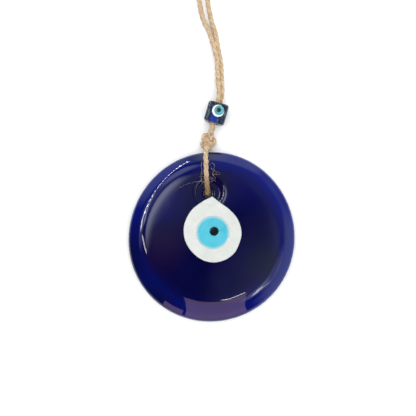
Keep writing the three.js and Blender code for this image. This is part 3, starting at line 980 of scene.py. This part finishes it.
def iris_glass():
    """Sky blue glass that pales and blurs where it has run into the white around it."""
    m, tree, shader = material("blue_glass")
    where = coords(tree)
    middle = stand([(*IRIS_CENTRE, IRIS_TOP)])[0]
    uneven = calculate(tree, "MULTIPLY", noise_node(tree, where, 500, 3.0), 0.0005)
    rim = fade(tree, calculate(tree, "ADD", distance_to(tree, where, middle), uneven), 0.0069, 0.0079)
    drift = noise_node(tree, where, 220, 4.0)
    colour = ramp(tree, drift, [(0.30, (0.040, 0.35, 0.46)), (0.5, (0.055, 0.41, 0.53)),
                                (0.72, (0.070, 0.43, 0.55))])
    # Darker blue streaks near one spot above and right of the pupil.
    dark_streaks = noise_node(tree, coords(tree, scale=(1, 2.5, 1), rotation=(0, 0, 0.7)), 330, 3.0)
    near = spot_mask(tree, where, (3.4, 4.6, 10), 0.5, 3.2)
    dark_streaks = mix(tree, near, (0, 0, 0), mask(tree, dark_streaks, 0.50, 0.62, 0.7))
    colour = mix(tree, dark_streaks, colour, (0.03, 0.25, 0.38))
    colour = mix(tree, rim, colour, (0.30, 0.52, 0.57))
    finish(tree, shader, colour, 0.25, 1.5, bump(tree, noise_node(tree, where, 700, 3.0), 0.12, 0.0002))
    return m


def bead_material():
    """Dark glass in the bead's own directions, with painted light: a bright blue patch below its eye, painted
    as if lit through the glass, pale streaks of painted highlight and a pale foot that is a painted
    reflection of the floor.
    """
    m, tree, shader = material("bead_glass")
    where = coords(tree, rotation=(0, 0, -BEAD_TURN))
    split = add(tree, "SeparateXYZ", {"Vector": where})
    c, s = math.cos(-BEAD_TURN), math.sin(-BEAD_TURN)
    mid = (BEAD_CENTRE[0] * c - BEAD_CENTRE[1] * s, BEAD_CENTRE[0] * s + BEAD_CENTRE[1] * c)

    def band(axis, low, high, soft):
        """1 from low to high along the axis, in millimetres, and 0 outside."""
        value = calculate(tree, "MULTIPLY", split.outputs[axis], PER_METRE)
        up, down = [add(tree, "MapRange", {"Value": value, "From Min": start, "From Max": end}).outputs[0]
                    for start, end in ((low - soft, low + soft), (high + soft, high - soft))]
        return calculate(tree, "MULTIPLY", up, down)

    # Painted light: a bright blue patch below the eye, as if lit through the glass.
    patch = calculate(tree, "MULTIPLY", band("X", mid[0] - 1.9, mid[0] + 1.3, 0.25),
                      band("Y", mid[1] - 5.2, mid[1] - 1.4, 0.3))
    cloud = noise_node(tree, where, 300, 3.0)
    slanted = coords(tree, scale=(3.5, 0.8, 3.5), rotation=(0, 0, -BEAD_TURN - 0.5))
    streak = noise_node(tree, slanted, 420, 3.0)
    dark = ramp(tree, cloud, [(0.32, (0.002, 0.005, 0.020)), (0.55, (0.005, 0.012, 0.034)),
                              (0.75, (0.012, 0.030, 0.060))])
    # Painted highlights: pale streaks across the dark glass.
    dark = mix(tree, mask(tree, streak, 0.54, 0.64, 0.8), dark, (0.085, 0.115, 0.165))
    bright = ramp(tree, cloud, [(0.3, (0.004, 0.016, 0.20)), (0.7, (0.008, 0.040, 0.33))])
    colour = mix(tree, patch, dark, bright)
    # Painted reflection of the floor: a pale band along the bead's lower end.
    foot = band("Y", mid[1] - 6.5, mid[1] - 4.75, 0.22)
    colour = mix(tree, foot, colour, (0.10, 0.14, 0.20))
    finish(tree, shader, colour, 0.13, 1.52, bump(tree, noise_node(tree, where, 700, 3.0), 0.25, 0.0003))
    return m


def jute(name, tones, grain_and_shade_tone, amount, hole_shade=None):
    """Twisted plant fibre: long streaks of four tones, a slow drift between plies and dark flecks along the
    fibres, which are partly painted shade in the hollows of the fibre bump.

    The hole's shade, if there is one, is painted shade: the colour where the cord goes down into the disc's
    hole.
    """
    m, tree, shader = material(name)
    streak = noise_node(tree, coords(tree, scale=(2.6, 1.5, 1), kind="UV"), 2.0, 3.0, 0.7)
    colour = ramp(tree, streak, [(0.34, tones[0]), (0.44, tones[1]), (0.53, tones[2]), (0.62, tones[3])])
    ply = noise_node(tree, coords(tree, scale=(0.6, 0.8, 1), location=(3, 5, 0), kind="UV"), 2.0, 2.0, 0.5)
    colour = mix(tree, mask(tree, ply, 0.50, 0.66, 0.6), colour, tones[1])
    fibre = noise_node(tree, coords(tree, scale=(8, 4, 1), kind="UV"), 2.0, 4.0, 0.75)
    # Dark flecks along the fibres: partly the fibre's own colour and partly painted shade in the low places
    # of the fibre bump.
    grain_and_hollow_shade = ramp(tree, fibre, [(0.36, (amount, amount, amount)), (0.46, (0, 0, 0))])
    colour = mix(tree, grain_and_hollow_shade, colour, grain_and_shade_tone)
    if hole_shade:
        # Painted shade where the cord goes down into the disc's hole.
        colour = mix(tree, spot_mask(tree, coords(tree), (-2.1, 20.6, 9.5), 3.0, 13), colour, hole_shade)
    tree.links.new(colour, shader.inputs["Base Color"])
    shader.inputs["Roughness"].default_value = 0.85
    shader.inputs["Specular IOR Level"].default_value = 0.25
    shader.inputs["Sheen Weight"].default_value = 0.15
    shader.inputs["Sheen Roughness"].default_value = 0.5
    tree.links.new(bump(tree, fibre, 0.9, 0.0002), shader.inputs["Normal"])
    return m


disc.data.materials.append(cobalt_glass())
eye_white.data.materials.append(opaque_glass(
    "white_glass", [(0.52, 0.53, 0.505), (0.57, 0.58, 0.555), (0.45, 0.46, 0.425), (0.33, 0.33, 0.30)],
    0.1, 0.32, True))
eye_iris.data.materials.append(iris_glass())
eye_pupil.data.materials.append(opaque_glass(
    "dark_glass", [(0.001, 0.005, 0.008), (0.002, 0.010, 0.013), (0.003, 0.010, 0.012)], 0.3, 0.10))
bead.data.materials.append(bead_material())
bead_white.data.materials.append(opaque_glass(
    "bead_white_glass", [(0.72, 0.78, 0.76), (0.82, 0.86, 0.84), (0.62, 0.68, 0.66), (0.4, 0.4, 0.4)],
    0.4, 0.25, True))
bead_iris.data.materials.append(opaque_glass(
    "turquoise_glass", [(0.045, 0.23, 0.29), (0.10, 0.36, 0.41), (0.08, 0.24, 0.29)], 0.5, 0.2))
bead_pupil.data.materials.append(opaque_glass(
    "bead_dark_glass", [(0.004, 0.012, 0.016), (0.02, 0.05, 0.04), (0.01, 0.02, 0.02)], 0.6, 0.15))
cord_tones = [(0.34, 0.205, 0.11), (0.53, 0.345, 0.205), (0.57, 0.435, 0.28), (0.70, 0.605, 0.45)]
cord_material = jute("jute", cord_tones, (0.15, 0.085, 0.042), 0.95, hole_shade=(0.22, 0.125, 0.058))
hair_tones = [(0.40, 0.27, 0.15), (0.50, 0.35, 0.20), (0.60, 0.46, 0.30), (0.70, 0.60, 0.42)]
hair_material = jute("jute_hair", hair_tones, (0.3, 0.2, 0.1), 0.3)
for piece in (top_knot, strand_left, lower_knot, loop_cord, strand_right):
    piece.data.materials.append(cord_material)
for piece in (loop_fuzz, lower_fuzz, left_fuzz, right_fuzz, top_fuzz, strays):
    piece.data.materials.append(hair_material)

# ---- floor and light
FLOOR_HALF = 1500
FLOOR_HEIGHT = -0.05
floor_corners = np.array(((-1, -1), (1, -1), (1, 1), (-1, 1))) * FLOOR_HALF
floor = new_object("floor", raised(floor_corners, FLOOR_HEIGHT), [(0, 1, 2, 3)])
floor_material, _, floor_shader = material("floor")
floor_shader.inputs["Base Color"].default_value = (0.92, 0.92, 0.92, 1)
floor_shader.inputs["Roughness"].default_value = 0.9
floor_shader.inputs["Specular IOR Level"].default_value = 0.1
floor.data.materials.append(floor_material)

world = bpy.data.worlds.new("world")
world.use_nodes = True
world_tree = world.node_tree
bpy.context.scene.world = world
ROOM_LIGHT = (0.035, 0.036, 0.042)


STRIP_DISTANCE = 1.1
PANE_DISTANCE = 1.0
DASH = (0.35, 0.60)


def toward(azimuth, elevation):
    """The unit vector in a direction given in degrees."""
    a, e = math.radians(azimuth), math.radians(elevation)
    return Vector((math.cos(e) * math.cos(a), math.cos(e) * math.sin(a), math.sin(e)))


# Soft bright parts of the room, which the glass reflects. Each is a product of lobes and a colour. A lobe is
# its azimuth and elevation, and how far from there the glow is full and gone, all in degrees.
HIGH_ONLY = ((0, 90), (19, 24))
ROOM_GLOWS = [
    ([((166, 71), (0, 15)), HIGH_ONLY], (3.4, 3.5, 4.0)),
    ([((150, 82), (0, 14))], (0.30, 0.32, 0.30)),
    ([((156, 51), (4, 20))], (0.6, 0.65, 0.7)),
    ([((44, 46), (30, 44))], (0.22, 0.23, 0.24)),
    ([((122, 53), (3, 15))], (1.6, 1.7, 1.6)),
    ([((-176, 52), (2, 10))], (0.7, 0.75, 0.7)),
    ([((76, 10), (20, 31))], (0.8, 0.88, 0.72)),
    ([((98, 10), (8, 28))], (0.5, 0.58, 0.42)),
    ([((30, 12), (4, 24))], (0.25, 0.28, 0.3)),
    ([((-20, 12), (18, 42))], (0.85, 0.95, 0.85)),
    ([((-45, 68), (2, 18))], (0.40, 0.42, 0.40)),
    ([((135, 10), (8, 28))], (0.7, 0.8, 0.7)),
    ([((-36, 47), (3, 17))], (0.8, 0.85, 1.0)),
    ([((-55, 54), (0, 9))], (1.6, 1.7, 1.6)),
]
look = add(world_tree, "TexCoord").outputs["Generated"]
total = None
for lobes, colour in ROOM_GLOWS:
    glow = add(world_tree, "CombineXYZ", dict(zip("XYZ", colour))).outputs[0]
    for direction, (inner, outer) in lobes:
        dot = add(world_tree, "VectorMath", {0: look, 1: toward(*direction)},
                  operation="DOT_PRODUCT").outputs["Value"]
        near = fade(world_tree, dot, math.cos(math.radians(outer)), math.cos(math.radians(inner)))
        scaled = add(world_tree, "VectorMath", {0: glow}, operation="SCALE")
        world_tree.links.new(near, scaled.inputs["Scale"])
        glow = scaled.outputs[0]
    before = ROOM_LIGHT if total is None else total
    total = add(world_tree, "VectorMath", {0: before, 1: glow}, operation="ADD").outputs[0]
world_tree.links.new(total, world_tree.nodes["Background"].inputs["Color"])
world_tree.nodes["Background"].inputs["Strength"].default_value = 1.0


def reflected_light(name, width, height, radiance, colour, axes, place):
    """A rectangular light for reflections: it throws no diffuse light. axes are its own x, y and z."""
    data = bpy.data.lights.new(name, "AREA")
    data.shape = "RECTANGLE"
    data.size, data.size_y = width, height
    data.energy = radiance * math.pi * width * height
    data.color = colour
    obj = bpy.data.objects.new(name, data)
    obj.matrix_world = Matrix(axes).transposed().to_4x4()
    obj.location = place
    obj.visible_diffuse = False
    bpy.context.scene.collection.objects.link(obj)


def strip(name, start, end, width, radiance):
    """A lit strip between two directions, each given as azimuth and elevation."""
    a, b = toward(*start) * STRIP_DISTANCE, toward(*end) * STRIP_DISTANCE
    middle = (a + b) / 2
    z = middle.normalized()
    y = z.cross((b - a).normalized()).normalized()
    reflected_light(name, (b - a).length, width, radiance, (1, 1, 1), (y.cross(z), y, z), middle)


def pane(name, azimuths, elevations, colour):
    """An upright lit sheet between two azimuths and two elevations."""
    middle = math.radians(sum(azimuths) / 2)
    half = PANE_DISTANCE * math.tan(math.radians(azimuths[1] - azimuths[0]) / 2)
    low, high = (PANE_DISTANCE * math.tan(math.radians(e)) for e in elevations)
    out = Vector((math.cos(middle), math.sin(middle), 0))
    up = Vector((0, 0, 1))
    place = out * PANE_DISTANCE + up * (low + high) / 2
    reflected_light(name, 2 * half, high - low, 1, colour, (up.cross(out), up, out), place)


def lamp_row(name, directions, width, radiance, dashes=None):
    """Lit strips along a line of directions; dashes breaks the line into that many short lamps."""
    points = [toward(*d) for d in directions]
    reach = np.r_[0, np.cumsum([(b - a).length for a, b in zip(points, points[1:])])]

    def at(t):
        """The direction at share t of the whole line."""
        k = min(int(np.searchsorted(reach, t * reach[-1], side="right")) - 1, len(points) - 2)
        u = (t * reach[-1] - reach[k]) / (reach[k + 1] - reach[k])
        p = points[k].lerp(points[k + 1], u).normalized()
        return math.degrees(math.atan2(p.y, p.x)), math.degrees(math.asin(p.z))

    count = dashes or len(directions) - 1
    for k in range(count):
        if dashes:
            strip(f"{name}_{k}", at((k + DASH[0]) / count), at((k + DASH[1]) / count), width, radiance)
        else:
            strip(f"{name}_{k}", directions[k], directions[k + 1], width, radiance)


# The main light. Reflections don't see it: they have the glows above and the lights below.
SKY_TARGET = Vector((0, 0.02, 0))
sky_data = bpy.data.lights.new("sky", "AREA")
sky_data.energy = 81
sky_data.size = 4.2
sky = bpy.data.objects.new("sky", sky_data)
sky.location = (0, 0.05, 1.5)
sky.rotation_euler = (SKY_TARGET - sky.location).to_track_quat("-Z", "Y").to_euler()
sky.visible_glossy = False
bpy.context.scene.collection.objects.link(sky)

lamp_row("window_top", [(109, 15.5), (113, 17), (118, 20), (123, 25), (129, 30), (134, 33), (140, 38.5),
                        (145, 42.5), (150, 45), (155, 47.5), (161, 50), (166, 50.5), (170, 50)],
         0.04, 58, dashes=16)
lamp_row("window_thread", [(109, 16), (118, 21), (129, 31), (140, 39.5), (150, 46), (161, 51)], 0.03, 6)
lamp_row("window_side", [(163, 49), (170, 50), (175, 49), (-179, 53)], 0.07, 14)
lamp_row("window_inner", [(150, 49), (158, 53), (167, 56), (178, 60)], 0.06, 4)
lamp_row("window_end", [(-172, 58), (-165, 62), (-159, 64), (-154, 66)], 0.03, 12)
pane("curtain", (-107, -65), (1, 70.2), (1.75, 1.15, 1.45))
pane("curtain_side", (-124, -109), (1, 15), (1.6, 0.95, 1.5))
strip("curtain_gap", (-82, 71.5), (-67, 69.7), 0.008, 36)
strip("lamp", (-58, 54), (-52, 51), 0.11, 8)
strip("lamp_tail", (-52, 51), (-42, 41), 0.05, 3)

bpy.context.scene.view_settings.view_transform = "Standard"
